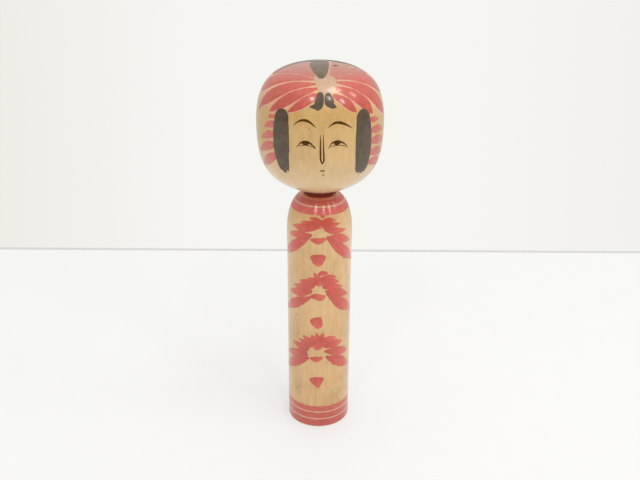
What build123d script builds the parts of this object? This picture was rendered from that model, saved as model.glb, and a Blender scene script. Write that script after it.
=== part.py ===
"""A turned wooden kokeshi doll, about one shaku (303 mm) tall, in millimetres.

The doll is two lathe-turned pieces of pale close-grained wood. The body is a
straight column with a rounded shoulder and a blind socket bored down its axis.
The head is a rounded block with a short neck and a spigot under it. The spigot
is pushed into the socket by hand, so the neck rests on the body's seat and the
head can be twisted round. Both pieces are solids of revolution about Z. The
origin is the centre of the base, and the front of the doll faces -Y.
"""

from math import cos, radians, sin
import os

from build123d import *

# Overall sizes
body_height = 202.9  # base to the flat seat under the neck
body_radius = 25.7
head_height = 97.5  # underside of the head to the crown
head_radius = 47.8

# Neck joint: a hand-tight spigot in a blind socket
socket_radius = 8.0
spigot_clearance = 0.05  # radial
spigot_length = 22.0
spigot_end_gap = 2.0  # air left under the spigot
spigot_chamfer = 1.2
socket_chamfer = 0.8
neck_ledge = 1.6  # how far the neck stands out round the socket's mouth
neck_height = 2.6

# Body: shoulder, base edge and the hollow that lets it stand on its rim
seat_margin = 2.2  # flat seat left showing round the neck
shoulder_height = 28.8  # height of the elliptical shoulder above the straight wall
base_edge_radius = 1.4
base_rim_width = 6.0
base_hollow_depth = 0.8

# Head profile: two Bezier curves that meet, upright, at the widest place.
# Each fullness says how far a curve holds its end slope, as a share of its way.
widest_height = 54.6  # above the underside of the head
crown_fullness = 0.68
temple_fullness = 0.77
cheek_fullness = 0.63
chin_fullness = 0.86
chin_slope = 18.1  # degrees above level where the underside leaves the neck

# Places that follow from the sizes above
total_height = body_height + neck_height + head_height
spigot_radius = socket_radius - spigot_clearance
socket_depth = spigot_length + spigot_end_gap
neck_radius = socket_radius + neck_ledge
seat_radius = neck_radius + seat_margin
shoulder_z = body_height - shoulder_height
underside_z = body_height + neck_height
widest_z = underside_z + widest_height
crown_reach = crown_fullness * head_radius
temple_reach = temple_fullness * (total_height - widest_z)
cheek_reach = cheek_fullness * widest_height
chin_reach = chin_fullness * (head_radius - neck_radius)


# Body
with BuildPart() as body:
    with BuildSketch(Plane.XZ) as body_section:
        with BuildLine() as body_outline:
            Line((0, base_hollow_depth), (body_radius - base_rim_width, 0))
            Line((body_radius - base_rim_width, 0), (body_radius, 0))
            Line((body_radius, 0), (body_radius, shoulder_z))
            EllipticalCenterArc(
                center=(seat_radius, shoulder_z),
                x_radius=body_radius - seat_radius,
                y_radius=shoulder_height,
                start_angle=0,
                arc_size=90,
            )
            Line((seat_radius, body_height), (0, body_height))
            Line((0, body_height), (0, base_hollow_depth))
        make_face()
    revolve(axis=Axis.Z)
    base_edge = body.edges().filter_by(GeomType.CIRCLE).group_by(Axis.Z)[0].sort_by(SortBy.RADIUS)[-1]
    fillet(base_edge, radius=base_edge_radius)
    with Locations((0, 0, body_height)):
        Hole(radius=socket_radius, depth=socket_depth)
    socket_mouth = body.edges().filter_by(GeomType.CIRCLE).group_by(Axis.Z)[-1].sort_by(SortBy.RADIUS)[0]
    chamfer(socket_mouth, length=socket_chamfer)

# Head, with its neck and spigot turned from the same block
with BuildPart() as head:
    with BuildSketch(Plane.XZ) as head_section:
        with BuildLine() as head_outline:
            Bezier(
                (0, total_height),
                (crown_reach, total_height),
                (head_radius, widest_z + temple_reach),
                (head_radius, widest_z),
            )
            Bezier(
                (head_radius, widest_z),
                (head_radius, widest_z - cheek_reach),
                (
                    neck_radius + chin_reach * cos(radians(chin_slope)),
                    underside_z + chin_reach * sin(radians(chin_slope)),
                ),
                (neck_radius, underside_z),
            )
            Polyline(
                (neck_radius, underside_z),
                (neck_radius, body_height),
                (spigot_radius, body_height),
                (spigot_radius, body_height - spigot_length),
                (0, body_height - spigot_length),
                (0, total_height),
            )
        make_face()
    revolve(axis=Axis.Z)
    spigot_end = head.edges().filter_by(GeomType.CIRCLE).group_by(Axis.Z)[0]
    chamfer(spigot_end, length=spigot_chamfer)

body.part.label = "body"
head.part.label = "head"

os.makedirs("parts", exist_ok=True)
export_step(body.part, "parts/body.step")
export_step(head.part, "parts/head.step")

for piece in (body, head):
    box = piece.part.bounding_box()
    print(f"{piece.part.label}: volume {piece.part.volume / 1000:.1f} cm3, z {box.min.Z:.2f} to {box.max.Z:.2f}")
print(f"total height {total_height:.1f}, widest at z {widest_z:.1f}, neck radius {neck_radius:.1f}")
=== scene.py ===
# %% [markdown]
# # A turned and painted kokeshi doll
# A kokeshi doll is two pieces of pale wood turned on a lathe: a straight body and a big
# round head that is pushed into it. The turner then paints it with a brush, in red dye and
# black ink, and rubs it with wax. This lesson starts from the plain turned pieces and makes
# them look like the finished doll. The work is nearly all in three things: a smooth skin
# for the wood, a wood finish with grain in it, and about a hundred brush strokes.

# %% Load the turned pieces
from bisect import bisect_left
from math import atan2, cos, hypot, pi, radians, sin, sqrt
import bpy
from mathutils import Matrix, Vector, geometry, noise


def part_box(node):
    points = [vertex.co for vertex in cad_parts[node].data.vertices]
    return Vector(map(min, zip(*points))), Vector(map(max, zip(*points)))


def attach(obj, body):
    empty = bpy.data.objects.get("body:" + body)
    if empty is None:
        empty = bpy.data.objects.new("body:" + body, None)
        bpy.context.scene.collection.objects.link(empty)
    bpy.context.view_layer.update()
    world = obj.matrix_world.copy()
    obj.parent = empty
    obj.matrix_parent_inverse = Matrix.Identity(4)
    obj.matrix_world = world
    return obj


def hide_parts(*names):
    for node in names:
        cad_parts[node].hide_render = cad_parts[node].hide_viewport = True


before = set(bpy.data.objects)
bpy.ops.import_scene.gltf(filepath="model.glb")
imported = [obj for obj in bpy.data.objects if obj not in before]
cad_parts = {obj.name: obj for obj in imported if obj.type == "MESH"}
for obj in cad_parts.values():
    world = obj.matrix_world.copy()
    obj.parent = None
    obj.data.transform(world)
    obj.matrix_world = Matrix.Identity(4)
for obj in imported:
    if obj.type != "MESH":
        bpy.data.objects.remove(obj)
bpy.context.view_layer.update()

# %% [markdown]
# Everything below is measured in millimetres on the doll, so the overall sizes are read
# once from the loaded pieces. The doll stands at the origin and its face looks along -Y.

# %% Read the sizes
MM = 0.001

body_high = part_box("body")[1]
head_low, head_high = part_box("head")
body_radius = body_high.x / MM
body_top = body_high.z / MM
head_radius = head_high.x / MM
crown_top = head_high.z / MM
spigot_end = head_low.z / MM
print(f"body radius {body_radius:.1f}, head radius {head_radius:.1f}, height {crown_top:.1f} mm")

# %% [markdown]
# ## The camera
# The doll is seen from a little above, as someone who stands at a table would see it. A
# camera could be aimed with a Track To constraint, but four plain numbers say the same and
# stay put: distance, height, pitch and roll. The lens is a normal one and the camera is
# near, so the head, which is nearer still, looks larger than the foot.

# %% Add the camera
camera_distance = 600.3  # in front of the doll's axis
camera_height = 428.8  # above the table
camera_pitch = 23.96  # degrees below level
camera_side = 0.5  # to the right of the axis
camera_roll = 0.35  # degrees; nobody holds a camera quite level
camera_lens = 46.35

bpy.ops.object.select_all(action="DESELECT")
bpy.ops.object.camera_add(
    location=(camera_side * MM, -camera_distance * MM, camera_height * MM),
    rotation=(radians(90 - camera_pitch), 0, 0),
)
camera = bpy.context.object
camera.rotation_euler.rotate_axis("Z", radians(camera_roll))
camera.data.sensor_width = 36
camera.data.lens = camera_lens
camera.data.clip_start = 0.01
bpy.context.scene.camera = camera
print(f"the camera stands {hypot(camera_distance, camera_height):.0f} mm from the foot")

# %% [markdown]
# ## The table and the room
# The doll stands on a plain white table. A flat plane would do for the surface, but a slab
# with a rounded edge also ends somewhere: its back edge makes the one quiet line behind the
# doll. A narrow grey strip closes that edge; it is painted shadow, the dark gap between the
# table and the wall. Both belong to the stage and not to the doll.

# %% Add the table top
table_back = 334  # from the doll's axis to the far edge
table_reach = 2600
table_thickness = 30
table_rounding = 5
strip_width = 5
strip_drop = 1  # how far the strip stays below the table's surface

bpy.ops.mesh.primitive_cube_add(
    size=1,
    location=(0, (table_back - table_reach / 2) * MM, -table_thickness / 2 * MM),
    scale=(2 * table_reach * MM, table_reach * MM, table_thickness * MM),
)
table = bpy.context.object
table.name = "table_top"
bpy.ops.object.transform_apply(location=True, rotation=True, scale=True)
table_round = table.modifiers.new("rounded edges", "BEVEL")
table_round.width = table_rounding * MM
table_round.segments = 6
bpy.ops.object.modifier_apply(modifier=table_round.name)
bpy.ops.object.shade_smooth_by_angle(angle=radians(40))

# %% Close the far edge with a strip of painted shadow
bpy.ops.mesh.primitive_cube_add(
    size=1,
    location=(0, (table_back + 2) * MM, -table_thickness / 2 * MM),
    scale=(2 * table_reach * MM, strip_width * MM, (table_thickness - 2 * strip_drop) * MM),
)
edge_shadow_strip = bpy.context.object
edge_shadow_strip.name = "edge_shadow_strip"
bpy.ops.object.transform_apply(location=True, rotation=True, scale=True)
print("stage:", table.name, "and", edge_shadow_strip.name)

# %% [markdown]
# A material is a small network of nodes. Joining them one by one takes many lines, so a few
# helpers keep it readable: `add` makes a node and fills or wires its inputs, and the others
# are short names for the nodes that are used most.

# %% Helpers for materials
def add(tree, kind, inputs=None, **settings):
    """Add a node, set its properties, and fill or wire its inputs by name or number."""
    made = tree.nodes.new("ShaderNode" + kind)
    for key, value in settings.items():
        setattr(made, key, value)
    for key, value in (inputs or {}).items():
        if isinstance(value, bpy.types.NodeSocket):
            tree.links.new(value, made.inputs[key])
        else:
            made.inputs[key].default_value = value
    return made


def maths(tree, operation, a, b=0.0, clamp=False):
    return add(tree, "Math", {0: a, 1: b}, operation=operation, use_clamp=clamp).outputs[0]


def blend_range(tree, value, low, high, out_low=0.0, out_high=1.0):
    """A smooth step: out_low below low, out_high above high."""
    inputs = {"Value": value, "From Min": low, "From Max": high, "To Min": out_low, "To Max": out_high}
    return add(tree, "MapRange", inputs, interpolation_type="SMOOTHSTEP").outputs["Result"]


def mix_colour(tree, share, a, b, blend="MIX"):
    mixer = add(tree, "Mix", data_type="RGBA", blend_type=blend)
    for socket, value in (("Factor_Float", share), ("A_Color", a), ("B_Color", b)):
        target = next(s for s in mixer.inputs if s.identifier == socket)
        if isinstance(value, bpy.types.NodeSocket):
            tree.links.new(value, target)
        else:
            target.default_value = value if socket == "Factor_Float" else (*value, 1)
    return next(s for s in mixer.outputs if s.identifier == "Result_Color")


def new_material(name):
    """A material that holds only a Principled shader, and that shader."""
    material = bpy.data.materials.new(name)
    material.use_nodes = True
    return material, material.node_tree, material.node_tree.nodes["Principled BSDF"]

# %% [markdown]
# A white table in a bright room is lit from everywhere, so its shadows are very soft. More
# lamps could give that, but they would add reflections on the doll. Half of the table's
# white is therefore a faint glow of its own, and only the other half takes shadows.

# %% Paint the table
table_paint, tree, shader = new_material("white_table")
place = add(tree, "TexCoord").outputs["Object"]
grain = add(tree, "TexNoise", {"Vector": place, "Scale": 40.0, "Detail": 3.0}).outputs["Fac"]
tone = mix_colour(tree, grain, (0.376, 0.378, 0.378), (0.392, 0.394, 0.394))
tree.links.new(tone, shader.inputs["Base Color"])
shader.inputs["Roughness"].default_value = 0.6
shader.inputs["Emission Color"].default_value = (0.98, 0.985, 0.98, 1)
shader.inputs["Emission Strength"].default_value = 0.50
table.data.materials.append(table_paint)

# The strip's grey is painted shadow: the dark gap between the table and the wall.
edge_shadow_paint, tree, shader = new_material("grey_edge_shadow")
shader.inputs["Base Color"].default_value = (0.66, 0.66, 0.65, 1)
shader.inputs["Roughness"].default_value = 0.8
edge_shadow_strip.data.materials.append(edge_shadow_paint)
print("table finishes:", table_paint.name, "and", edge_shadow_paint.name)

# %% [markdown]
# The room is only light. A real wall could stand behind the doll, but it would be in the way
# from other sides, so the world's colour does its work. Towards the back it is brighter, in
# front of the doll it is dimmer, and the dimmer part keeps the face from going pale with
# reflections. What the camera sees behind the table is a flat pale tone of its own, a
# little deeper towards the sides.

# %% Light from the room
wall_tone = (0.920, 0.912, 0.880)
room_strength = 1.33
world = bpy.data.worlds.new("pale_room")
bpy.context.scene.world = world
world.use_nodes = True
tree = world.node_tree
tree.nodes.clear()
direction = add(tree, "TexCoord").outputs["Generated"]
toward = add(tree, "SeparateXYZ", {0: direction})
backness = blend_range(tree, toward.outputs["Y"], -0.75, 0.55)
upness = blend_range(tree, toward.outputs["Z"], 0.0, 0.9)
room = mix_colour(tree, backness, (0.27, 0.26, 0.25), (0.50, 0.485, 0.46))
room = mix_colour(tree, upness, room, (0.66, 0.655, 0.635))
leftness = blend_range(tree, toward.outputs["X"], -0.12, -0.42)
rightness = blend_range(tree, toward.outputs["X"], 0.12, 0.42)
wall = mix_colour(tree, leftness, wall_tone, (0.845, 0.840, 0.785))
wall = mix_colour(tree, rightness, wall, (0.885, 0.878, 0.842))
path = add(tree, "LightPath").outputs["Is Camera Ray"]
seen = mix_colour(tree, path, room, wall)
strength = maths(tree, "SUBTRACT", room_strength, maths(tree, "MULTIPLY", path, room_strength - 1))
glow = add(tree, "Background", {"Color": seen, "Strength": strength})
add(tree, "OutputWorld", {"Surface": glow.outputs[0]})

bpy.context.scene.view_settings.view_transform = "Standard"
print(f"room light {room_strength} times as strong as it looks behind the table")

# %% [markdown]
# Small lamps high in the room give the wax its sparkle: a few little bright panes on the
# forehead and three upright streaks on the shoulder. Each lamp is named by the compass
# direction and the height that it shines from, so a highlight can be moved on its own.

# %% Add the lamps
lamp_distance = 2.0
lamp_aim = Vector((0, 0, 0.22))


def add_lamp(name, azimuth, elevation, width, height, watts, tint=(1, 0.99, 0.97)):
    """A rectangular lamp; azimuth 0 is the viewer's side, and 90 is the viewer's right."""
    level = cos(radians(elevation))
    sideways, forwards = sin(radians(azimuth)) * level, -cos(radians(azimuth)) * level
    toward_lamp = Vector((sideways, forwards, sin(radians(elevation))))
    bpy.ops.object.light_add(type="AREA", location=lamp_aim + lamp_distance * toward_lamp)
    lamp = bpy.context.object
    lamp.name = name
    lamp.rotation_euler = toward_lamp.to_track_quat("Z", "Y").to_euler()
    lamp.data.shape = "RECTANGLE"
    lamp.data.size = width
    lamp.data.size_y = height
    lamp.data.energy = watts
    lamp.data.color = tint


add_lamp("lamp_front_left", -19, 47, 0.15, 0.30, 3.4)
add_lamp("lamp_front_right", 22, 49, 0.17, 0.32, 4.0)
add_lamp("lamp_right", 47, 36, 0.12, 0.34, 2.4)
add_lamp("lamp_far_right", 81, 41, 0.16, 0.50, 1.8)
add_lamp("lamp_high_right", 57, 68, 0.62, 0.55, 6.6)
add_lamp("soft_ceiling", 0, 82, 2.4, 2.4, 3)

# %% [markdown]
# ## The turned shapes
# A turned piece is known completely by its half profile. The turner's curves are repeated
# here as points, closely spaced, together with the distance run along the curve. That
# distance matters later: a brush stroke is planned flat and then laid on the curve, and it
# must keep its size when it gets there.

# %% A profile that can be walked along
class Profile:
    """A half profile in millimetres, walked by the distance run along it."""

    def __init__(self, points):
        self.points = [Vector(point) for point in points]
        self.run = [0.0]
        for before, after in zip(self.points, self.points[1:]):
            self.run.append(self.run[-1] + (after - before).length)

    def at(self, distance):
        """Radius, height and outward normal at a distance along the curve."""
        distance = min(max(distance, 0.0), self.run[-1] - 1e-6)
        index = max(bisect_left(self.run, distance), 1)
        before, after = self.points[index - 1], self.points[index]
        share = (distance - self.run[index - 1]) / (self.run[index] - self.run[index - 1])
        here = before.lerp(after, share)
        along = (after - before).normalized()
        return here.x, here.y, Vector((-along.y, along.x))

    def where(self, test):
        """The first distance at which test(radius, height) becomes true."""
        return next(run for run, point in zip(self.run, self.points) if test(point.x, point.y))


def curve(start, handle_1, handle_2, end, count):
    corners = [Vector((*point, 0)) for point in (start, handle_1, handle_2, end)]
    return [tuple(point.xy) for point in geometry.interpolate_bezier(*corners, count)]


def arc(centre, radius_x, radius_y, start, end, count):
    angles = [radians(start + (end - start) * step / (count - 1)) for step in range(count)]
    return [(centre[0] + radius_x * cos(angle), centre[1] + radius_y * sin(angle)) for angle in angles]

# %% The head's profile
neck_radius = 9.6
neck_height = 2.6
widest_height = 54.6  # above the underside of the head
crown_fullness = 0.68
temple_fullness = 0.77
cheek_fullness = 0.63
chin_fullness = 0.86
chin_slope = radians(18.1)

underside = body_top + neck_height
widest = underside + widest_height
chin_reach = chin_fullness * (head_radius - neck_radius)
head_skin = curve(
    (0, crown_top),
    (crown_fullness * head_radius, crown_top),
    (head_radius, widest + temple_fullness * (crown_top - widest)),
    (head_radius, widest),
    60,
)
head_skin += curve(
    (head_radius, widest),
    (head_radius, widest - cheek_fullness * widest_height),
    (neck_radius + chin_reach * cos(chin_slope), underside + chin_reach * sin(chin_slope)),
    (neck_radius, underside),
    56,
)[1:]
head_curve = Profile(head_skin)
print(f"from the crown to the neck, over the cheek: {head_curve.run[-1]:.1f} mm")

# %% The body's profile
socket_radius = 8.0
socket_chamfer = 0.8
seat_radius = 11.8
shoulder_height = 28.8
base_edge_radius = 1.4
wall_steps = 60

shoulder_base = body_top - shoulder_height
shoulder = arc((seat_radius, shoulder_base), body_radius - seat_radius, shoulder_height, 90, 0, 48)
wall = [
    (body_radius, shoulder_base + (base_edge_radius - shoulder_base) * step / wall_steps)
    for step in range(1, wall_steps)
]
rim_centre = (body_radius - base_edge_radius, base_edge_radius)
rim = arc(rim_centre, base_edge_radius, base_edge_radius, 0, -90, 10)
body_curve = Profile([(socket_radius + socket_chamfer, body_top)] + shoulder + wall + rim)
print(f"from the seat to the foot, down the wall: {body_curve.run[-1]:.1f} mm")

# %% [markdown]
# ## The wood
# The loaded pieces are coarse triangles, good for measuring and for physics. For the looks
# each is turned again on a finer lathe: one vertex is extruded along the half profile and
# the profile is spun round the axis. Spin leaves a seam and a bundle of points at the
# axis, so the doubles are merged and the faces are turned outwards.

# %% Turn a piece
lathe_steps = 180


def turn(name, points):
    """Extrude a vertex along the half profile, in millimetres, and spin it round Z."""
    bpy.ops.object.select_all(action="DESELECT")
    bpy.ops.mesh.primitive_plane_add(size=1 * MM)
    piece = bpy.context.object
    piece.name = piece.data.name = name
    bpy.ops.object.mode_set(mode="EDIT")
    bpy.ops.mesh.select_all(action="SELECT")
    bpy.ops.mesh.merge(type="CENTER")
    places = [Vector((radius * MM, 0, height * MM)) for radius, height in points]
    bpy.ops.transform.translate(value=places[0])
    for before, after in zip(places, places[1:]):
        bpy.ops.mesh.extrude_region_move(TRANSFORM_OT_translate={"value": after - before})
    bpy.ops.mesh.select_all(action="SELECT")
    bpy.ops.mesh.spin(steps=lathe_steps, angle=2 * pi, center=(0, 0, 0), axis=(0, 0, 1))
    bpy.ops.mesh.select_all(action="SELECT")
    bpy.ops.mesh.remove_doubles(threshold=0.002 * MM)
    bpy.ops.mesh.normals_make_consistent(inside=False)
    bpy.ops.object.mode_set(mode="OBJECT")
    bpy.ops.object.shade_smooth_by_angle(angle=radians(35))
    print(f"{name}: {len(piece.data.polygons)} faces")
    return piece

# %% Turn the body
base_hollow = 0.8
base_rim_width = 6.0
spigot_end_gap = 2.0  # air left under the spigot
socket_floor = spigot_end - spigot_end_gap

body_points = [(0, socket_floor), (socket_radius, socket_floor)]
body_points += [(socket_radius, body_top - socket_chamfer)]
body_points += [tuple(point) for point in body_curve.points]
body_points += [(body_radius - base_rim_width, 0), (0, base_hollow)]
body_wood = turn("body_wood", body_points)

# %% Turn the head
spigot_radius = 7.95
spigot_chamfer = 1.2
neck_steps = 4

head_points = [tuple(point) for point in head_curve.points]
head_points += [
    (neck_radius, underside - step * neck_height / neck_steps) for step in range(1, neck_steps + 1)
]
head_points += [(spigot_radius, body_top), (spigot_radius, spigot_end + spigot_chamfer)]
head_points += [(spigot_radius - spigot_chamfer, spigot_end), (0, spigot_end)]
head_wood = turn("head_wood", head_points)

# %% [markdown]
# ## The grain
# The wood is a pale, close-grained one, and its grain runs up the doll. Sawn and turned,
# the yearly rings show as faint upright bands on the sides and as circles on the crown, and
# the fibres as fine upright streaks. Age has made it honey-coloured and a little blotchy.
# An image could be wrapped round the doll, but its seam and its stretching would show on a
# round crown. So one node group draws the wood from the object's own coordinates. Both the
# bare wood and the dye use it: dye is see-through, so the grain has to run on under it. The
# group gives the colour, a shade for the dye, a height for the relief, and how much dust has
# settled, because dust gathers on the top of the head and nowhere else. The colour also
# carries painted light and shade: the lower head is painted paler, as light from the white
# table below, and the body is painted darker towards the foot, as shade near the table.

# %% Draw the grain once
year_ring = 3.1  # from one yearly ring to the next
# honey is the paler tone of the painted light on the lower head.
honey = (0.900, 0.695, 0.430)
smudge_brown = (0.340, 0.225, 0.080)


def wood_figure(name, pale, deep, pith, stains, painted_light_below=0.0):
    """A node group for the wood: its colour, a shade near 1 for the dye, a height and grime."""
    group = bpy.data.node_groups.new(name, "ShaderNodeTree")
    group.interface.new_socket("Color", in_out="OUTPUT", socket_type="NodeSocketColor")
    for output in ("Shade", "Height", "Grime"):
        group.interface.new_socket(output, in_out="OUTPUT", socket_type="NodeSocketFloat")
    place = add(group, "TexCoord").outputs["Object"]

    stretched = add(group, "Mapping", {"Vector": place, "Scale": (1, 1, 0.05)}).outputs[0]
    fibre = add(group, "TexNoise", {"Vector": stretched, "Scale": 620.0, "Detail": 4.0, "Roughness": 0.62})
    fleck = add(group, "TexNoise", {"Vector": stretched, "Scale": 1500.0, "Detail": 1.0})
    fleck = blend_range(group, fleck.outputs["Fac"], 0.66, 0.80)

    sway = add(group, "TexNoise", {"Vector": stretched, "Scale": 22.0, "Detail": 2.0}).outputs["Color"]
    swayed = add(group, "VectorMath", {0: sway, "Scale": 0.006}, operation="SCALE").outputs[0]
    from_pith = add(group, "VectorMath", {0: place, 1: Vector(pith) * MM}, operation="SUBTRACT").outputs[0]
    from_pith = add(group, "VectorMath", {0: from_pith, 1: swayed}).outputs[0]
    across = add(group, "VectorMath", {0: from_pith, 1: (1, 1, 0.03)}, operation="MULTIPLY").outputs[0]
    ring = add(group, "VectorMath", {0: across}, operation="LENGTH").outputs["Value"]
    ring = maths(group, "SINE", maths(group, "MULTIPLY", ring, 2 * pi / (year_ring * MM)))
    ring = blend_range(group, ring, -0.6, 1.0)

    patch = add(group, "TexNoise", {"Vector": place, "Scale": 24.0, "Detail": 4.0, "Roughness": 0.55})
    patch = blend_range(group, patch.outputs["Fac"], 0.34, 0.66)
    mottle = add(group, "Mapping", {"Vector": place, "Scale": (1, 1, 0.3)}).outputs[0]
    mottle = add(group, "TexNoise", {"Vector": mottle, "Scale": 330.0, "Detail": 3.0}).outputs["Fac"]
    tone = maths(group, "MULTIPLY", patch, 0.40)
    tone = maths(group, "ADD", tone, blend_range(group, mottle, 0.3, 0.7, -0.12, 0.12))
    tone = maths(group, "ADD", tone, blend_range(group, fibre.outputs["Fac"], 0.2, 0.8, 0.12, 0.30))
    level = add(group, "SeparateXYZ", {0: place}).outputs["Z"]
    # Painted shade: the wood darkens towards the foot, over its lowest 150 mm.
    tone = maths(group, "ADD", tone, blend_range(group, level, 0.010, 0.150, 0.30, 0.0))
    tone = maths(group, "ADD", tone, maths(group, "MULTIPLY", ring, 0.06), clamp=True)
    colour = mix_colour(group, tone, pale, deep)
    dark_fibre = [0.55 * part for part in deep]
    colour = mix_colour(group, maths(group, "MULTIPLY", fleck, 0.34), colour, dark_fibre)

    soiled = 0.0
    for x, y, z, size, strength in stains:
        away = add(group, "VectorMath", {0: place, 1: Vector((x, y, z)) * MM}, operation="DISTANCE")
        spot = blend_range(group, away.outputs["Value"], size * MM, 0.35 * size * MM, 0.0, strength)
        soiled = maths(group, "ADD", soiled, spot, clamp=True)
    if stains:
        smudge = add(group, "TexNoise", {"Vector": place, "Scale": 260.0, "Detail": 3.0}).outputs["Fac"]
        soiled = maths(group, "MULTIPLY", soiled, blend_range(group, smudge, 0.30, 0.62, 0.35, 1.0))
        colour = mix_colour(group, soiled, colour, smudge_brown)

    grime = blend_range(group, level, 0.2935, 0.3030, 0.0, 0.56)
    grime = maths(group, "MULTIPLY", grime, blend_range(group, mottle, 0.3, 0.7, 0.75, 1.0))
    # Painted light: the lower half of the head turns paler and honey-coloured towards the chin, as the white
    # table below lights it.
    if painted_light_below:
        light_below_share = blend_range(group, level, 0.218, 0.260, painted_light_below, 0.0)
        colour = mix_colour(group, light_below_share, colour, honey)

    shade = maths(group, "ADD", maths(group, "MULTIPLY", tone, -0.26), 1.10)
    height = maths(group, "ADD", fibre.outputs["Fac"], maths(group, "MULTIPLY", ring, 0.3))
    outputs = group.nodes.new("NodeGroupOutput")
    group.links.new(colour, outputs.inputs["Color"])
    group.links.new(shade, outputs.inputs["Shade"])
    group.links.new(height, outputs.inputs["Height"])
    group.links.new(grime, outputs.inputs["Grime"])
    return group

# %% [markdown]
# Old dolls are never clean. Noise alone would scatter its spots evenly, so a few brown
# freckles and some smudges near the foot are placed one by one, each by its direction round
# the doll, its height, its size and its strength.

# %% Place the stains
def stain(radius, azimuth, height, size, strength):
    return (radius * sin(radians(azimuth)), -radius * cos(radians(azimuth)), height, size, strength)


body_stains = [
    stain(body_radius, -43, 37.5, 6.5, 0.40),
    stain(body_radius, -41, 32, 5, 0.42),
    stain(body_radius, 34, 31, 9, 0.34),
    stain(body_radius, -33, 20.5, 3.4, 0.35),
    stain(body_radius, 14, 63, 2.2, 0.40),
    stain(body_radius, 70, 82, 9, 0.25),
    stain(body_radius, -45, 104, 1.6, 0.45),
    stain(body_radius, -52, 52, 12, 0.12),
    stain(body_radius, 110, 60, 14, 0.16),
    stain(body_radius, 200, 90, 16, 0.14),
]
head_stains = [stain(47.5, -9.1, 267.2, 1.2, 0.75), stain(46, 168, 240, 14, 0.14)]
print("stains:", len(body_stains), "on the body and", len(head_stains), "on the head")

# %% Make the two figures
body_figure = wood_figure(
    "body_figure", (0.824, 0.536, 0.252), (0.564, 0.316, 0.108), (38, 24, 0), body_stains,
)
# The head carries painted light from below on its lower half.
head_figure = wood_figure(
    "head_figure", (0.735, 0.474, 0.178), (0.510, 0.276, 0.074), (-30, 46, 0), head_stains, painted_light_below=0.52,
)
for figure in (body_figure, head_figure):
    print(f"{figure.name}: {len(figure.nodes)} nodes")

# %% [markdown]
# ## Wax over wood
# The doll is rubbed with wax while it spins, which gives a soft shine with a second, sharper
# one over it. The second one is the shader's coat. The lathe leaves rings too fine to see
# on their own, but they break up the edges of the highlights, so the coat gets its own
# normal with only the rings in it, while the wood below also has its fibres. The head is
# polished smoother than the body, and its rings hardly show.

# %% Make the wood finishes
coat_roughness = 0.14
ring_depth = 0.028
fibre_depth = 0.05
rings_cut = {"body_figure": 0.9, "head_figure": 0.02}
grime_brown = (0.330, 0.225, 0.155)


def wax(tree, shader, fibres, cut, gloss=1.0):
    """Set the wax gloss, and a faint relief of fibres and of the rings cut on the lathe."""
    place = add(tree, "TexCoord").outputs["Object"]
    rings = add(tree, "Mapping", {"Vector": place, "Scale": (0.01, 0.01, 1)}).outputs[0]
    rings = add(tree, "TexNoise", {"Vector": rings, "Scale": 5200.0, "Detail": 2.0}).outputs["Fac"]
    rings = {"Height": rings, "Strength": cut, "Distance": ring_depth * MM, "Filter Width": 0.05}
    rings = add(tree, "Bump", rings).outputs[0]
    relief = {"Height": fibres, "Strength": 0.1, "Distance": fibre_depth * MM, "Normal": rings}
    relief = add(tree, "Bump", relief).outputs[0]
    rub = add(tree, "TexNoise", {"Vector": place, "Scale": 55.0, "Detail": 3.0}).outputs["Fac"]
    tree.links.new(relief, shader.inputs["Normal"])
    tree.links.new(rings, shader.inputs["Coat Normal"])
    tree.links.new(blend_range(tree, rub, 0.25, 0.75, 0.36, 0.48), shader.inputs["Roughness"])
    shader.inputs["Specular IOR Level"].default_value = 0.5 * gloss
    shader.inputs["Coat Weight"].default_value = 0.9 * gloss
    shader.inputs["Coat Roughness"].default_value = coat_roughness
    shader.inputs["Coat IOR"].default_value = 1.5


def dusted(tree, wood, colour, share=1.0):
    """The grey-brown film that years of dust leave on the top of the head."""
    film = maths(tree, "MULTIPLY", wood.outputs["Grime"], share)
    return mix_colour(tree, film, colour, grime_brown)


def bare_wood(name, figure):
    material, tree, shader = new_material(name)
    wood = add(tree, "Group", node_tree=figure)
    tree.links.new(dusted(tree, wood, wood.outputs["Color"]), shader.inputs["Base Color"])
    wax(tree, shader, wood.outputs["Height"], rings_cut[figure.name])
    return material


for piece, node, figure in ((body_wood, "body", body_figure), (head_wood, "head", head_figure)):
    piece.data.materials.append(bare_wood(piece.name + "_finish", figure))
    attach(piece, node)
    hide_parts(node)
    print(f"{piece.name} rides on {node} and takes its place")

# %% [markdown]
# ## Dye and ink
# The red is a thin dye and the black a diluted ink. Both let the grain through. A brush
# leaves streaks along its path, more colour where it is pressed or where strokes overlap,
# and a slightly darker line where the wet colour stopped at the edge. Each stroke carries
# what the shader needs: its own flat coordinates, how much colour it holds, and how far
# each point is from the stroke's edge.

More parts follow.
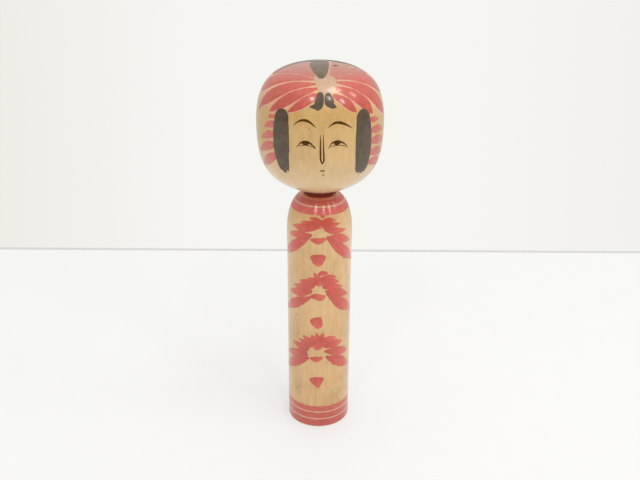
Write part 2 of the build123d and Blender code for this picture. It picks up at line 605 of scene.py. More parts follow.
# %% How much colour lies at each point
def brushed_amount(tree, load, rim, dry):
    """The load, uneven along the brush's path and at the edge, and skipped where dry."""
    flat = add(tree, "UVMap", uv_map="UVMap").outputs[0]
    streaks = add(tree, "Mapping", {"Vector": flat, "Scale": (0.11, 2.1, 1)}).outputs[0]
    streaks = add(tree, "TexNoise", {"Vector": streaks, "Scale": 1.0, "Detail": 4.0, "Roughness": 0.6})
    streaks = blend_range(tree, streaks.outputs["Fac"], 0.25, 0.75, 0.78, 1.14)
    cloud = add(tree, "TexNoise", {"Vector": flat, "Scale": 0.22, "Detail": 2.0}).outputs["Fac"]
    bristles = add(tree, "Mapping", {"Vector": flat, "Scale": (0.16, 3.4, 1)}).outputs[0]
    bristles = add(tree, "TexNoise", {"Vector": bristles, "Scale": 1.0, "Detail": 3.0}).outputs["Fac"]

    amount = maths(tree, "MULTIPLY", load, streaks)
    amount = maths(tree, "ADD", amount, blend_range(tree, cloud, 0.3, 0.7, -0.09, 0.09))
    pool = blend_range(tree, rim, 0.15, 0.75, 0.07, 0.0)
    feather = blend_range(tree, rim, 0.0, 0.22, -0.20, 0.0)
    amount = maths(tree, "ADD", amount, maths(tree, "ADD", pool, feather))
    skipped = maths(tree, "MULTIPLY", blend_range(tree, bristles, 0.52, 0.68, 0.0, 0.75), dry)
    return maths(tree, "SUBTRACT", amount, skipped)

# %% A brushed colour over the wood
edge_brown = (0.440, 0.170, 0.055)


def brushed_colour(name, figure, stops, shade_share, edge_share, gloss=1.0, dust_share=1.0):
    """A see-through brushed colour. stops are (load, colour), from almost bare to full."""
    material, tree, shader = new_material(name)
    wood = add(tree, "Group", node_tree=figure)
    load = add(tree, "Attribute", attribute_name="load").outputs["Fac"]
    rim = add(tree, "Attribute", attribute_name="rim").outputs["Fac"]
    dry = add(tree, "Attribute", attribute_name="dry").outputs["Fac"]
    amount = brushed_amount(tree, load, rim, dry)

    ramp = add(tree, "ValToRGB", {"Fac": maths(tree, "MULTIPLY", amount, 0.5)})
    while len(ramp.color_ramp.elements) < len(stops):
        ramp.color_ramp.elements.new(0.5)
    for element, (stop, colour) in zip(ramp.color_ramp.elements, stops):
        element.position = stop / 2
        element.color = (*colour, 1)
    edge = blend_range(tree, rim, 0.0, 0.9, edge_share, 0.0)
    edge = maths(tree, "MULTIPLY", edge, maths(tree, "ADD", dry, 0.15))
    dyed = mix_colour(tree, edge, ramp.outputs["Color"], edge_brown)
    shade = maths(tree, "MULTIPLY", wood.outputs["Shade"], shade_share)
    shade = maths(tree, "ADD", shade, 1 - shade_share)
    shade = add(tree, "CombineXYZ", {0: shade, 1: shade, 2: shade}).outputs[0]
    dyed = mix_colour(tree, 1.0, dyed, shade, "MULTIPLY")
    through = blend_range(tree, amount, 0.02, 0.34, 1.0, 0.0)
    dyed = mix_colour(tree, through, dyed, wood.outputs["Color"])
    tree.links.new(dusted(tree, wood, dyed, dust_share), shader.inputs["Base Color"])
    wax(tree, shader, wood.outputs["Height"], rings_cut[figure.name], gloss)
    return material

# %% [markdown]
# Each colour is a short ramp over the load of the brush. Thin red dye is a warm pink and
# thick dye a deep red; it is a little duller on the head and in the rings than in the
# flowers. The seat under the neck lies in shadow and was never rubbed, so it hardly shines;
# its red is laid on thickest, which is partly painted shade from the head above it.

# %% Red dye
red_stops = [
    (0.20, (0.800, 0.450, 0.290)), (0.75, (0.750, 0.160, 0.095)), (1.05, (0.670, 0.088, 0.054)),
    (1.45, (0.510, 0.048, 0.030)), (1.95, (0.300, 0.026, 0.018)),
]


def shifted(stops, red_by, green_by, blue_by):
    """The same ramp with another hue, apart from its thinnest step."""
    others = [
        (stop, (red_by * red, green_by * green, blue_by * blue))
        for stop, (red, green, blue) in stops[1:]
    ]
    return stops[:1] + others


dull_stops = shifted(red_stops, 0.90, 1.0, 1.02)
red_on_body = brushed_colour("red_on_body", body_figure, red_stops, 0.8, 0.8)
red_rings = brushed_colour("red_rings", body_figure, dull_stops, 0.8, 0.4)
red_seat_in_shade = brushed_colour("red_seat_in_shade", body_figure, dull_stops, 0.8, 0.0, gloss=0.2)
red_on_head = brushed_colour("red_on_head", head_figure, dull_stops, 0.8, 0.3)
print("red finishes:", ", ".join(red.name for red in (red_on_body, red_rings, red_seat_in_shade, red_on_head)))

# %% [markdown]
# On the shoulder the lamps show as upright streaks, because the wax was polished across
# the turning rings. A deeper bump could draw them out too, but rings as fine as that only
# sparkle. An anisotropic shine does it evenly: its tangent runs round the axis, as the
# rings do, and the quarter turn draws each highlight out across them. The coat would lay a
# round highlight over it, so it is left off here.

# %% Red dye on the shoulder
deep_stops = shifted(red_stops, 1.0, 0.78, 0.95)
red_shoulder = brushed_colour("red_shoulder", body_figure, deep_stops, 0.8, 0.4)
tree = red_shoulder.node_tree
shader = tree.nodes["Principled BSDF"]
for socket in ("Normal", "Roughness"):
    tree.links.remove(shader.inputs[socket].links[0])
around = add(tree, "Tangent", direction_type="RADIAL", axis="Z").outputs[0]
tree.links.new(around, shader.inputs["Tangent"])
polish = {
    "Roughness": 0.24, "Anisotropic": 1.0, "Anisotropic Rotation": 0.25,
    "IOR": 1.65, "Specular IOR Level": 1.0, "Coat Weight": 0.0,
}
for socket, value in polish.items():
    shader.inputs[socket].default_value = value
print(f"{red_shoulder.name}: {len(polish)} settings for the polish")

# %% [markdown]
# The hair is a diluted ink that the grain hardly shows through. The fine lines of the face
# are the same ink in a thinner, browner mix and without a shine. On the bare spot of the
# crown the red has bled into a dull, dusty wash.

# %% Inks and the wash
ink = dict(shade_share=0.4, edge_share=0.0, dust_share=0.15)
black_stops = [
    (0.20, (0.520, 0.340, 0.160)), (0.75, (0.140, 0.088, 0.046)), (1.05, (0.072, 0.047, 0.027)),
    (1.45, (0.034, 0.022, 0.013)), (1.95, (0.014, 0.009, 0.005)),
]
brown_stops = [
    (0.20, (0.540, 0.330, 0.110)), (0.75, (0.230, 0.112, 0.022)), (1.05, (0.115, 0.050, 0.008)),
    (1.45, (0.055, 0.023, 0.003)), (1.95, (0.024, 0.009, 0.002)),
]
wash_stops = [(0.20, (0.620, 0.385, 0.240)), (0.75, (0.560, 0.310, 0.200)), (1.2, (0.400, 0.180, 0.110))]
black_on_head = brushed_colour("black_on_head", head_figure, black_stops, gloss=0.6, **ink)
brown_on_head = brushed_colour("brown_on_head", head_figure, brown_stops, gloss=0.1, **ink)
wash_on_head = brushed_colour("wash_on_head", head_figure, wash_stops, 0.8, 0.0)
print("inks and wash:", ", ".join(mix.name for mix in (black_on_head, brown_on_head, wash_on_head)))

# %% [markdown]
# ## Laying a stroke on the wood
# A stroke is planned flat. On the body the plan is the surface unrolled: millimetres round
# from the front, and height. On the face it is millimetres round and the distance run down
# from the crown. On the crown it is a view from straight above, with distances kept true
# along every line through the top.

# %% From a flat plan to the surface
flower_offset = -0.4  # the flowers stand a little left of the front
flower_rise = 0.9
face_offset = -0.6  # and the head is turned a little as well
shoulder_run = body_curve.where(lambda radius, height: height <= shoulder_base + 1e-6)
falling = [-point.y for point in body_curve.points]
print(f"the shoulder ends {shoulder_run:.1f} mm along the body's profile")


def run_at_height(z):
    """Distance down the body's profile at a height on the shoulder or the wall."""
    if z <= shoulder_base:
        return shoulder_run + shoulder_base - z
    index = bisect_left(falling, -z)
    share = (-z - falling[index - 1]) / (falling[index] - falling[index - 1])
    return body_curve.run[index - 1] + share * (body_curve.run[index] - body_curve.run[index - 1])


def wrap(profile, azimuth, run, lift):
    """A point lift millimetres outside a profile, in metres."""
    radius, height, normal = profile.at(run)
    radius += normal.x * lift
    height += normal.y * lift
    return Vector((radius * sin(azimuth), -radius * cos(azimuth), height)) * MM


def on_body(x, z, lift):
    azimuth = (x + flower_offset) / body_radius
    return wrap(body_curve, azimuth, run_at_height(z + flower_rise), lift)


def on_face(x, run, lift):
    return wrap(head_curve, (x + face_offset) / head_radius, run, lift)


def on_crown(x, y, lift):
    return wrap(head_curve, atan2(x, -y), hypot(x, y), lift)

# %% [markdown]
# A stroke could be painted on an image, but then it would lose its sharp edge close up. So
# each one is a thin film of its own. The brush is a grid: its length is bent along a smooth
# path through a few points, its width follows how hard the brush is pressed at each of
# them, and both ends are rounded. A frayed end lets every bristle stop at its own length, a
# dry one lets the bristles skip, and a soft one fades out sideways, as dye does that creeps
# into the wood.

# %% The path of the brush
def smooth_path(points, t):
    """Point on a smooth curve through points; t runs from 0 to 1 by length."""
    knots = [0.0]
    for before, after in zip(points, points[1:]):
        knots.append(knots[-1] + hypot(after[0] - before[0], after[1] - before[1]))
    target = t * knots[-1]
    index = min(max(bisect_left(knots, target), 1), len(points) - 1)
    span = knots[index] - knots[index - 1]
    share = (target - knots[index - 1]) / span

    def slope(k):
        low, high = max(k - 1, 0), min(k + 1, len(points) - 1)
        return [(b - a) / (knots[high] - knots[low]) for a, b in zip(points[low], points[high])]

    ends = zip(points[index - 1], points[index], slope(index - 1), slope(index))
    s2, s3 = share**2, share**3
    return [
        (2 * s3 - 3 * s2 + 1) * a + (s3 - 2 * s2 + share) * span * m
        + (3 * s2 - 2 * s3) * b + (s3 - s2) * span * n
        for a, b, m, n in ends
    ]


def rounded(distance, reach):
    """How full the brush is, from 0 at its end to 1 a reach further in."""
    share = min(1.0, distance / max(reach, 0.05))
    return sqrt(1 - (1 - share) ** 2)


def bristle_shift(side, press, seed, fray):
    """How much further one bristle of a frayed end runs than the middle of the brush."""
    own = noise.noise(Vector((side * 4.3, seed, 5.0))) * fray
    return own - press * 0.8 * (1 - sqrt(max(0.0, 1 - side**2)))

# %% The brush
layer_step = 0.006
first_layer = 0.03
row_length = 0.8
column_width = 0.6


def lay_stroke(
    points, surface, layer, load=(1.0, 1.0), wobble=0.05, fray=0.0, cap=1.0, dry=0.0, soft=False
):
    """One brush stroke as a thin grid. points are (x, y, half width), in millimetres."""
    length = sum(hypot(b[0] - a[0], b[1] - a[1]) for a, b in zip(points, points[1:]))
    widest_press = max(point[2] for point in points)
    rows = max(10, round(length / row_length))
    columns = 2 * max(3, round(widest_press / column_width))
    bpy.ops.object.select_all(action="DESELECT")
    bpy.ops.mesh.primitive_grid_add(x_subdivisions=rows, y_subdivisions=columns, size=2)
    stroke = bpy.context.object
    mesh = stroke.data
    seed = points[0][0] * 1.37 + points[-1][1] * 0.71 + layer * 3.1
    lift = first_layer + layer * layer_step
    fineness = max(1.0, 1.1 / widest_press)
    flats, rims, loads, dries = {}, [], [], []
    for vertex in mesh.vertices:
        t = 0.5 - 0.5 * cos(pi * (vertex.co.x + 1) / 2)
        side = vertex.co.y
        x, y, press = smooth_path(points, t)
        ahead, behind = smooth_path(points, min(t + 0.01, 1)), smooth_path(points, max(t - 0.01, 0))
        run_x, run_y = ahead[0] - behind[0], ahead[1] - behind[1]
        size = hypot(run_x, run_y)
        run_x, run_y = run_x / size, run_y / size
        along = t * length
        edge_noise = noise.noise(Vector((along * 0.45, seed, 9.0 if side > 0 else 2.0)))
        press = max(press, 0.0) * (1 + 2 * wobble * edge_noise)
        width = press * rounded(along, points[0][2] * cap)
        if fray:
            shift = bristle_shift(side, press, seed, fray) * max(0.0, (t - 0.6) / 0.4)
            x, y = x + run_x * shift, y + run_y * shift
        else:
            width *= rounded(length - along, points[-1][2])
        x, y = x - run_y * side * width, y + run_x * side * width
        vertex.co = surface(x, y, lift)
        flats[vertex.index] = (along, side * width + seed * 7)
        ends = min(along, length - along) if fray else width
        rims.append(9.0 if soft else min((1 - abs(side)) * width, ends) * fineness)
        faded_end = min(1.0, along / 3, (length - along) / 3)
        fullness = (1 - side**4) * faded_end if soft else 1.0
        loads.append((load[0] + (load[1] - load[0]) * t) * fullness)
        dries.append(dry * t**2)
    flat_layer = mesh.uv_layers[0]
    for loop in mesh.loops:
        flat_layer.data[loop.index].uv = flats[loop.vertex_index]
    for name, values in (("rim", rims), ("load", loads), ("dry", dries)):
        mesh.attributes.new(name, "FLOAT", "POINT").data.foreach_set("value", values)
    return stroke

# %% [markdown]
# Strokes that belong together, such as the petals of one flower, are joined into one piece.
# Merging doubles closes their pointed ends, and Solidify gives the film its thickness, far
# thinner than a hair. Later strokes lie a few thousandths of a millimetre above the
# earlier ones, so that the last one wins where they cross.

# %% Join strokes into a piece
film_thickness = 0.02
centre_of_head = Vector((0, 0, widest * MM))


def face_outwards(piece):
    """Flip every open film face whose normal points into the wood."""
    for face in piece.data.polygons:
        inside = centre_of_head
        if face.center.z < (body_top + 0.1) * MM:
            inside = Vector((0, 0, min(face.center.z, shoulder_base * MM)))
        if face.normal.dot(face.center - inside) < 0:
            face.flip()
    piece.data.update()


def finish_paint(name, strokes, material, body):
    """Join strokes, close their ends, give the film a thickness, and let it ride on a body."""
    bpy.ops.object.select_all(action="DESELECT")
    for stroke in strokes:
        stroke.select_set(True)
    bpy.context.view_layer.objects.active = strokes[0]
    bpy.ops.object.join()
    piece = bpy.context.object
    piece.name = piece.data.name = name
    bpy.ops.object.mode_set(mode="EDIT")
    bpy.ops.mesh.select_all(action="SELECT")
    bpy.ops.mesh.remove_doubles(threshold=0.002 * MM)
    bpy.ops.mesh.select_all(action="SELECT")
    bpy.ops.mesh.dissolve_degenerate(threshold=0.0005 * MM)
    bpy.ops.object.mode_set(mode="OBJECT")
    face_outwards(piece)
    film = piece.modifiers.new("film", "SOLIDIFY")
    film.thickness = film_thickness * MM
    film.offset = -1
    bpy.ops.object.modifier_apply(modifier=film.name)
    bpy.ops.object.shade_smooth_by_angle(angle=radians(50))
    piece.data.materials.clear()
    piece.data.materials.append(material)
    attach(piece, body)
    print(f"{name}: {len(strokes)} strokes, {len(piece.data.polygons)} faces")


def paint(name, surface, strokes, material, body, slot, start=0, **brush):
    """Lay several strokes one over another, each in a layer of its own."""
    laid = [lay_stroke(stroke, surface, start + layer, **brush) for layer, stroke in enumerate(strokes)]
    finish_paint(name, laid, material, body)

# %% [markdown]
# ## Bands turned on the lathe
# The rings at the foot and the shoulder are painted while the doll spins: the brush is
# held still against it. So a band is not a stroke but a ring of the profile, lifted off
# the wood by the same hair's breadth. A faint, wide ring goes on first and tints the thin
# lines of wood that stay open between the full ones. Just under the head that faint ring
# is deeper, as painted shade from the head.

# %% A turned band
def lay_band(profile, start, end, layer, load=1.0, droop=0.0):
    """A ring of dye between two distances along a profile; droop lowers its right side."""
    rows = max(3, round((end - start) / row_length))
    bpy.ops.object.select_all(action="DESELECT")
    bpy.ops.mesh.primitive_grid_add(x_subdivisions=lathe_steps, y_subdivisions=rows, size=2)
    band = bpy.context.object
    mesh = band.data
    flats, rims = {}, []
    lift = first_layer + layer * layer_step
    for vertex in mesh.vertices:
        azimuth = pi * vertex.co.x
        share = (1 - vertex.co.y) / 2
        uneven = 0.16 * noise.noise(Vector((cos(azimuth) * 2, sin(azimuth) * 2, start)))
        shaky = (uneven + droop * sin(azimuth)) * min(1.0, 4 * share * (1 - share) + 0.6)
        run = start + (end - start) * share + shaky
        vertex.co = wrap(profile, azimuth, run, lift)
        flats[vertex.index] = (azimuth * body_radius, share * (end - start) + start)
        rims.append(min(share, 1 - share) * (end - start))
    for loop in mesh.loops:
        mesh.uv_layers[0].data[loop.index].uv = flats[loop.vertex_index]
    for name, values in (("rim", rims), ("load", [load] * len(rims)), ("dry", [0.0] * len(rims))):
        mesh.attributes.new(name, "FLOAT", "POINT").data.foreach_set("value", values)
    return band


def height_band(top, bottom, layer, **settings):
    """A ring on the body between two heights."""
    return lay_band(body_curve, run_at_height(top), run_at_height(bottom), layer, **settings)

# %% Paint the shoulder and the seat
shoulder_bands = [
    height_band(199.6, 196.6, 0, load=0.34),
    # The line of wood just under the head is tinted deeper: pink dye, and painted shade from the head.
    height_band(202.75, 201.0, 0, load=0.56),
    height_band(201.75, 198.6, 1, load=1.18),
    height_band(197.5, 192.3, 1, load=1.02, droop=0.5),
]
finish_paint("shoulder_bands", shoulder_bands, red_shoulder, "body")

seat_edge = body_curve.where(lambda radius, height: radius >= 12.7)
# The seat's red is laid on thickest: red dye, and painted shade from the head above.
seat_band = lay_band(body_curve, 0.2, seat_edge, 1, load=1.72)
finish_paint("seat_band", [seat_band], red_seat_in_shade, "body")

# %% Paint the foot and the neck
foot_bands = [
    height_band(16.0, 6.0, 0, load=0.30),
    height_band(20.8, 15.6, 1, load=1.05),
    height_band(14.5, 8.8, 1, load=1.12),
    height_band(7.7, 1.0, 1, load=1.20),
]
finish_paint("foot_bands", foot_bands, red_rings, "body")

neck_curve = Profile([(neck_radius, underside), (neck_radius, body_top)])
# The neck is as deep: red dye, and painted shade under the head.
neck_band = lay_band(neck_curve, 0.1, 2.4, 0, load=1.72)
finish_paint("neck_band", [neck_band], red_seat_in_shade, "head")

# %% [markdown]
# ## The flowers
# Three chrysanthemums seen from the side are stacked down the front. Each is a fan of
# petals to the left and the right of an open eye of bare wood, with a half-moon stroke
# under the eye. The brush touches down softly at the heart, is pressed, and leaves at the
# tip. A petal is written as heart, belly and tip, each with the half width of the brush.

# %% Paint the top flower
top_flower = [
    [(3.2, 192.6, 2.0), (3.0, 190.6, 2.1), (2.9, 189.2, 1.4)],
    [(0.4, 188.9, 2.0), (0.2, 185.0, 3.4), (-0.2, 180.9, 2.8)],
    [(3.0, 184.8, 1.8), (-2.6, 187.4, 2.7), (-8.4, 189.6, 0.4)],
    [(2.2, 186.2, 1.6), (8.2, 187.6, 2.1), (14.4, 186.8, 0.3)],
    [(0.5, 182.8, 2.0), (-8.5, 184.6, 2.6), (-15.8, 185.4, 0.3)],
    [(2.6, 183.2, 1.8), (9.6, 183.8, 2.4), (18.4, 183.8, 0.3)],
    [(-2.0, 182.2, 2.0), (-13.5, 181.0, 3.3), (-24.6, 180.6, 0.3)],
    [(3.8, 181.0, 0.9), (12.4, 178.9, 2.9), (24.6, 177.4, 0.3)],
    [(-4.8, 176.2, 0.7), (-16.5, 174.8, 3.1), (-28.8, 172.2, 0.8)],
    [(5.6, 174.8, 0.6), (17.5, 171.8, 3.8), (30.6, 166.2, 0.4)],
    [(-6.0, 175.4, 0.8), (-20.5, 164.9, 4.3), (-37.8, 152.0, 1.2)],
    [(6.4, 173.6, 0.8), (20.5, 160.7, 4.7), (38.2, 147.0, 1.2)],
    [(-6.5, 172.7, 1.0), (-0.2, 171.5, 2.7), (6.0, 173.5, 1.0)],
]
flower_red = dict(material=red_on_body, body="body", slot="red_dye")
paint("flower_top", on_body, top_flower, load=(1.40, 0.95), wobble=0.07, dry=0.8, **flower_red)

# %% Paint the middle flower
middle_flower = [
    [(1.4, 141.0, 1.8), (0.6, 137.0, 3.6), (-0.8, 132.8, 3.0)],
    [(0.4, 139.0, 1.8), (-2.0, 141.8, 1.9), (-4.0, 144.4, 0.6)],
    [(-0.4, 142.6, 1.2), (3.4, 144.3, 2.2), (7.4, 143.6, 0.8)],
    [(0.0, 137.8, 2.0), (-4.4, 138.4, 2.1), (-8.9, 139.3, 0.5)],
    [(1.6, 138.6, 2.0), (8.4, 140.3, 2.5), (14.3, 139.5, 0.7)],
    [(-1.0, 135.6, 2.2), (-9.0, 135.4, 2.8), (-16.1, 135.7, 0.8)],
    [(2.6, 136.4, 2.0), (10.0, 136.5, 3.0), (17.2, 134.6, 0.4)],
    [(-3.0, 133.4, 2.0), (-12.5, 131.0, 3.4), (-22.8, 129.8, 0.3)],
    [(2.8, 132.8, 1.8), (11.5, 131.6, 3.1), (21.3, 129.3, 0.4)],
    [(-5.0, 128.6, 1.8), (-16.0, 125.4, 4.0), (-28.8, 122.3, 0.4)],
    [(5.0, 128.4, 0.8), (17.0, 125.0, 3.6), (28.8, 119.4, 0.5)],
    [(-5.6, 123.2, 0.8), (-19.0, 115.2, 4.2), (-36.8, 103.4, 1.2)],
    [(6.2, 126.4, 0.8), (20.0, 114.4, 4.9), (37.6, 102.0, 1.2)],
    [(-6.4, 123.6, 1.3), (-1.4, 123.5, 2.7), (2.4, 122.7, 2.7), (5.6, 124.4, 0.8)],
]
flower_brush = dict(load=(1.40, 1.0), wobble=0.07, dry=0.8, **flower_red)
paint("flower_middle", on_body, middle_flower, **flower_brush)

# %% Paint the bottom flower
bottom_flower = [
    [(0.8, 86.0, 2.6), (-0.6, 80.0, 5.3), (-1.2, 74.6, 3.4)],
    [(-0.6, 84.0, 1.8), (-1.1, 88.0, 1.6), (-1.6, 91.2, 0.3)],
    [(1.8, 83.0, 2.4), (3.0, 87.4, 2.3), (3.8, 91.2, 0.3)],
    [(-1.4, 81.6, 2.6), (-3.9, 85.4, 2.5), (-5.8, 88.8, 0.4)],
    [(-3.0, 79.8, 2.8), (-8.4, 83.3, 2.9), (-13.0, 86.6, 0.5)],
    [(3.2, 82.8, 2.6), (9.2, 84.2, 3.0), (14.9, 84.8, 0.8)],
    [(-5.0, 77.8, 2.8), (-11.3, 80.3, 2.8), (-17.6, 82.6, 0.3)],
    [(4.0, 78.6, 2.2), (13.0, 79.4, 4.0), (21.6, 79.2, 0.9)],
    [(-7.4, 75.2, 2.8), (-15.6, 76.0, 3.2), (-25.0, 77.2, 0.3)],
    [(-8.4, 69.4, 0.9), (-13.0, 68.4, 2.6), (-19.0, 65.4, 1.4)],
    [(4.6, 73.6, 1.0), (17.0, 71.2, 4.2), (29.0, 67.0, 1.4)],
    [(-9.2, 71.4, 2.4), (-20.6, 68.0, 3.6), (-35.6, 62.4, 0.8)],
    [(6.0, 68.6, 0.9), (18.0, 61.5, 4.9), (32.0, 52.2, 1.4)],
    [(-7.4, 67.0, 1.0), (-20.5, 59.6, 4.4), (-38.8, 46.6, 1.2)],
    [(-6.8, 66.4, 0.8), (-1.0, 66.1, 2.7), (4.0, 67.7, 0.6)],
]
paint("flower_bottom", on_body, bottom_flower, **flower_brush)

# %% [markdown]
# Under each flower the brush is pressed down once and lifted, which leaves a bud: blunt at
# the top, where the brush lands, and narrow at the bottom.

# %% Paint the buds
buds = [
    [(-0.6, 160.2, 6.2), (-0.4, 156.4, 5.9), (-0.1, 152.6, 3.9), (0.0, 149.8, 1.4)],
    [(-2.5, 104.8, 4.8), (-1.5, 101.0, 4.9), (-0.6, 97.4, 3.8), (-1.0, 94.3, 1.2)],
    [(-1.5, 48.8, 6.2), (-1.1, 45.4, 5.9), (-0.3, 41.4, 3.2), (0.2, 38.0, 0.4)],
]
paint("flower_buds", on_body, buds, cap=0.3, **flower_brush)

# %% [markdown]
# ## The crown
# Red strokes fan out from a bare spot in front of the crown and sweep back over the head
# like a tied ribbon. They start almost as points, and thin lines of wood are left between
# them. These lines aren't clean: the dye has crept a little way into the wood on both
# sides. So every stroke is first laid wider, thin and soft, then a dusty wash goes over
# the bare spot, and the full strokes come last.

# %% Plan the red fan
front_fan = [
    [(-1.8, -44.0, 1.8), (-8.0, -46.8, 3.2), (-15.6, -49.0, 3.3), (-22.4, -50.1, 2.1), (-28.6, -50.4, 0.3)],
    [(9.6, -43.6, 1.3), (16.0, -45.0, 2.8), (22.6, -46.2, 3.7), (27.6, -47.4, 2.6), (32.0, -48.3, 0.5)],
    [(-1.9, -39.2, 0.8), (-10.0, -40.6, 2.6), (-21.0, -41.8, 4.0), (-32.0, -41.4, 3.9), (-46.4, -38.4, 0.5)],
    [(11.2, -37.4, 1.2), (20.0, -37.8, 3.5), (31.0, -37.9, 4.6), (41.0, -37.5, 4.5), (49.2, -37.0, 1.0)],
    [(-3.3, -35.4, 0.9), (-10.0, -34.8, 2.1), (-20.0, -33.2, 3.7), (-32.0, -31.0, 5.0),
     (-42.0, -27.8, 5.0), (-50.0, -23.9, 3.2), (-59.0, -20.0, 0.5)],
    [(11.4, -32.2, 0.9), (20.0, -30.8, 2.4), (29.0, -28.7, 4.1), (38.0, -26.2, 5.3),
     (46.0, -23.6, 5.9), (54.0, -20.2, 5.2), (63.6, -13.4, 1.8)],
    [(-4.2, -31.2, 0.8), (-8.4, -29.4, 1.9), (-15.0, -26.4, 3.2), (-22.0, -22.9, 4.3),
     (-30.0, -18.4, 5.8), (-38.0, -13.0, 6.6), (-48.0, -5.0, 5.0)],
    [(10.6, -28.8, 0.8), (18.0, -24.2, 2.8), (24.6, -20.7, 4.2), (32.0, -15.6, 5.8),
     (40.0, -9.0, 7.2), (50.0, 0.0, 6.0)],
    [(-4.4, -27.8, 0.9), (-8.4, -23.6, 2.1), (-14.2, -18.5, 3.1), (-21.6, -11.1, 4.5),
     (-28.0, -3.2, 6.0), (-34.0, 6.0, 5.0)],
    [(9.6, -27.2, 0.7), (14.0, -20.8, 1.8), (19.6, -14.4, 3.1), (26.0, -6.8, 4.6), (33.0, 4.0, 5.6)],
    [(-3.2, -26.0, 1.0), (-6.4, -19.4, 2.3), (-9.4, -11.6, 4.3), (-13.2, -3.2, 6.4), (-17.0, 8.0, 6.4)],
    [(8.6, -25.9, 0.6), (12.8, -15.4, 1.9), (16.6, -6.6, 2.7), (19.6, 5.0, 3.4)],
    [(7.4, -25.4, 0.8), (9.6, -13.0, 2.3), (10.8, -4.0, 3.0), (11.6, 6.0, 3.5)],
]
print("strokes in the fan:", len(front_fan))

# %% Paint the red fan
head_red = dict(material=red_on_head, body="head", slot="red_dye", wobble=0.05)
first_creep, later_creep = 1.3, 2.8
bleed = [
    [(x, y, width + (later_creep if layer > 1 else first_creep)) for x, y, width in stroke]
    for layer, stroke in enumerate(front_fan)
]
paint("crown_bleed", on_crown, bleed, load=(0.46, 0.60), soft=True, **head_red)

blush = [[(3.4, -20.0, 9.0), (3.6, -30.0, 8.6), (4.2, -39.0, 6.0), (4.2, -45.0, 3.2)]]
head_wash = {**head_red, "material": wash_on_head}
paint("crown_blush", on_crown, blush, start=14, load=(0.66, 0.24), **head_wash)
paint("crown_fan", on_crown, front_fan, start=15, load=(1.12, 1.26), **head_red)

# %% [markdown]
# The back of the head carries a fan too. It is painted as three pairs of strokes, each
# pair a mirror image, so that a loop over the two sides writes them.

# %% Paint the fan at the back
back_fan = [
    [(side * 6.0, 34.0, 0.6), (side * bow, 58.0, 4.6), (side * reach, 82.0, 1.4)]
    for side in (-1, 1) for bow, reach in ((6.0, 7.0), (20.0, 25.0), (33.0, 43.0))
]
paint("back_fan", on_crown, back_fan, load=(0.95, 1.0), **head_red)

# %% [markdown]
# The hair is black ink. One broad lobe comes forward over the crown, others run back and
# to the sides from the same knot, and two small tufts hang over the forehead.

# %% Paint the topknot and the forelock
head_black = dict(material=black_on_head, body="head", slot="black_ink")
topknot = [
    [(-3.0, 16.0, 3.2), (-14.0, 9.6, 4.8), (-25.0, 4.2, 3.6), (-36.0, -2.0, 0.8)],
    [(6.0, 16.0, 3.2), (15.0, 11.0, 3.8), (28.0, 4.0, 0.9)],
    [(-3.0, 20.0, 3.0), (-15.0, 40.0, 6.4), (-22.0, 58.0, 1.6)],
    [(7.0, 20.0, 3.0), (18.0, 40.0, 6.4), (25.0, 57.0, 1.6)],
    [(1.4, 18.0, 3.0), (2.0, 40.0, 6.6), (2.0, 62.0, 1.6)],
    [(0.2, 24.0, 5.0), (-0.7, -6.0, 7.0), (0.0, -17.6, 5.8), (0.6, -25.2, 3.8), (0.8, -29.9, 1.4)],
]
paint("topknot", on_crown, topknot, start=30, load=(1.0, 0.86), wobble=0.04, **head_black)

forelock = [
    [(-1.0, -51.0, 2.0), (-4.4, -52.3, 1.7), (-8.8, -52.0, 0.2)],
    [(0.2, -42.0, 1.7), (-0.1, -46.0, 3.0), (-0.8, -50.0, 3.5), (-1.8, -53.2, 2.9), (-2.3, -55.2, 0.6)],
    [(7.2, -50.2, 2.2), (10.2, -51.0, 1.9), (13.6, -51.4, 0.3)],
    [(5.8, -42.2, 1.4), (6.3, -45.4, 2.9), (7.4, -49.0, 3.7), (8.2, -52.4, 2.9)],
]
paint("forelock", on_crown, forelock, start=30, load=(1.0, 1.05), wobble=0.04, **head_black)

# %% [markdown]
# Beside the topknot there is one short brown touch, where the brush slipped. Such a slip
# belongs to a thing made by hand, and it is a stroke like any other.

# %% Add the brown touch
head_brown = {**head_black, "material": brown_on_head}
slip = [[(8.8, -7.6, 0.8), (10.8, -6.7, 1.5), (13.0, -5.8, 0.7)]]
paint("crown_slip", on_crown, slip, start=29, load=(1.25, 1.0), **head_brown)

# %% [markdown]
# ## The sides of the face
# Red petals spread from behind each sideburn and are painted first. The sideburn is then
# one pull of a broad brush over their ends, straight at the top and frayed at the bottom.

# %% Paint the cheek petals
left_petals = [
    [(-34.0, 61.4, 1.4), (-38.6, 62.7, 2.0), (-42.6, 64.4, 0.5)],
    [(-34.0, 67.8, 2.0), (-40.0, 69.0, 2.6), (-47.4, 72.6, 0.5)],
    [(-34.0, 75.2, 2.2), (-42.5, 77.2, 2.9), (-52.6, 82.2, 0.6)],
    [(-34.0, 82.6, 2.2), (-45.0, 86.4, 3.4), (-57.5, 93.0, 0.8)],
    [(-34.0, 90.6, 2.6), (-45.0, 97.0, 3.7), (-57.0, 104.8, 0.8)],
]
right_petals = [
    [(41.0, 65.2, 1.6), (46.0, 66.2, 2.3), (52.4, 66.8, 0.6)],
    [(42.0, 73.4, 2.0), (50.5, 74.0, 3.1), (61.0, 76.4, 0.9)],
    [(42.0, 81.2, 2.2), (52.5, 82.2, 3.4), (66.0, 85.4, 1.0)],
    [(42.0, 89.6, 2.4), (53.5, 91.4, 3.5), (68.0, 95.6, 1.0)],
    [(42.0, 97.2, 2.4), (53.5, 99.4, 3.5), (70.0, 106.0, 1.0)],
]
paint("cheek_petals_left", on_face, left_petals, load=(1.05, 0.85), **head_red)
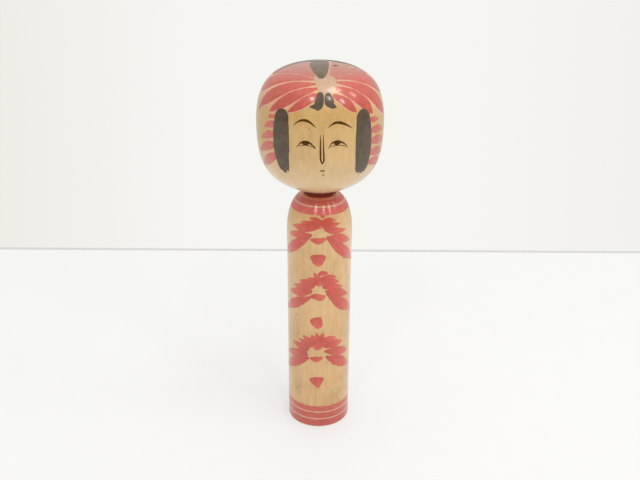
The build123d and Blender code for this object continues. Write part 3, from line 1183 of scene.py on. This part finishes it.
paint("cheek_petals_right", on_face, right_petals, load=(1.05, 0.85), **head_red)

# %% Paint the sideburns
left_sideburn = [[(-28.7, 56.0, 5.4), (-29.0, 72.0, 6.9), (-28.8, 88.0, 6.7), (-27.4, 102.6, 4.9)]]
right_sideburn = [[(34.5, 56.6, 5.8), (34.8, 72.0, 7.3), (35.2, 88.0, 7.6), (35.7, 105.0, 6.4)]]
sideburn_brush = dict(start=30, load=(1.05, 0.95), wobble=0.02, fray=2.6, **head_black)
paint("sideburn_left", on_face, left_sideburn, **sideburn_brush)
paint("sideburn_right", on_face, right_sideburn, **sideburn_brush)

# %% [markdown]
# ## The face
# The face is drawn with the tip of the finest brush: arched brows, an upper lid that
# carries the pupil, a fainter lower lid, a nose of two upright lines that meet, and a mouth
# that is only two light touches.

# %% Paint the brows and the eyes
fine_brush = dict(start=0, wobble=0.12, **head_brown)
brows = [
    [(-18.4, 66.3, 0.12), (-16.0, 64.0, 0.40), (-13.0, 62.5, 0.76), (-9.8, 62.3, 0.95),
     (-6.8, 63.2, 0.82), (-4.2, 65.2, 0.48), (-2.2, 67.0, 0.12)],
    [(6.4, 67.1, 0.12), (8.8, 65.0, 0.48), (11.6, 63.7, 0.84), (15.0, 63.9, 0.98),
     (18.4, 65.0, 0.78), (21.4, 66.8, 0.48), (24.2, 68.7, 0.12)],
]
paint("brows", on_face, brows, load=(1.25, 1.25), **fine_brush)

eyes = [
    [(-15.6, 81.2, 0.10), (-12.6, 80.2, 0.22), (-9.4, 79.9, 0.26), (-6.0, 80.4, 0.24), (-3.2, 81.6, 0.12)],
    [(-9.7, 77.3, 1.9), (-9.7, 78.4, 2.6), (-9.7, 79.3, 2.5), (-9.7, 79.9, 1.5)],
    [(-16.4, 82.1, 0.14), (-14.3, 79.5, 0.36), (-11.8, 77.6, 0.60), (-9.0, 77.2, 0.72),
     (-6.6, 77.9, 0.66), (-4.4, 79.8, 0.52), (-2.1, 82.3, 0.16)],
    [(6.9, 81.1, 0.10), (9.8, 80.3, 0.22), (13.0, 79.9, 0.26), (16.6, 80.3, 0.24), (20.2, 81.9, 0.12)],
    [(12.6, 77.1, 1.9), (12.6, 78.2, 2.6), (12.6, 79.1, 2.5), (12.6, 79.8, 1.5)],
    [(6.5, 82.1, 0.14), (8.4, 78.9, 0.38), (10.6, 77.2, 0.62), (13.4, 76.9, 0.72),
     (16.2, 77.8, 0.64), (18.8, 79.6, 0.42), (21.0, 82.1, 0.12)],
]
paint("eyes", on_face, eyes, load=(1.35, 1.35), **fine_brush)

# %% Paint the nose and the mouth
nose = [
    [(1.00, 72.0, 0.20), (1.05, 78.0, 0.48), (1.1, 86.0, 0.68), (1.3, 91.0, 0.60), (2.6, 93.9, 0.28)],
    [(3.1, 71.8, 0.20), (3.15, 80.0, 0.42), (3.4, 86.0, 0.56), (3.45, 91.0, 0.56), (2.5, 93.8, 0.36)],
]
paint("nose", on_face, nose, load=(1.05, 1.25), **fine_brush)

mouth = [
    [(0.6, 99.2, 0.3), (2.6, 99.2, 0.75), (4.4, 99.1, 0.5)],
    [(2.8, 102.4, 0.5), (3.5, 102.8, 0.85), (4.0, 103.0, 0.6)],
]
paint("mouth", on_face, mouth, load=(0.70, 0.70), **fine_brush)
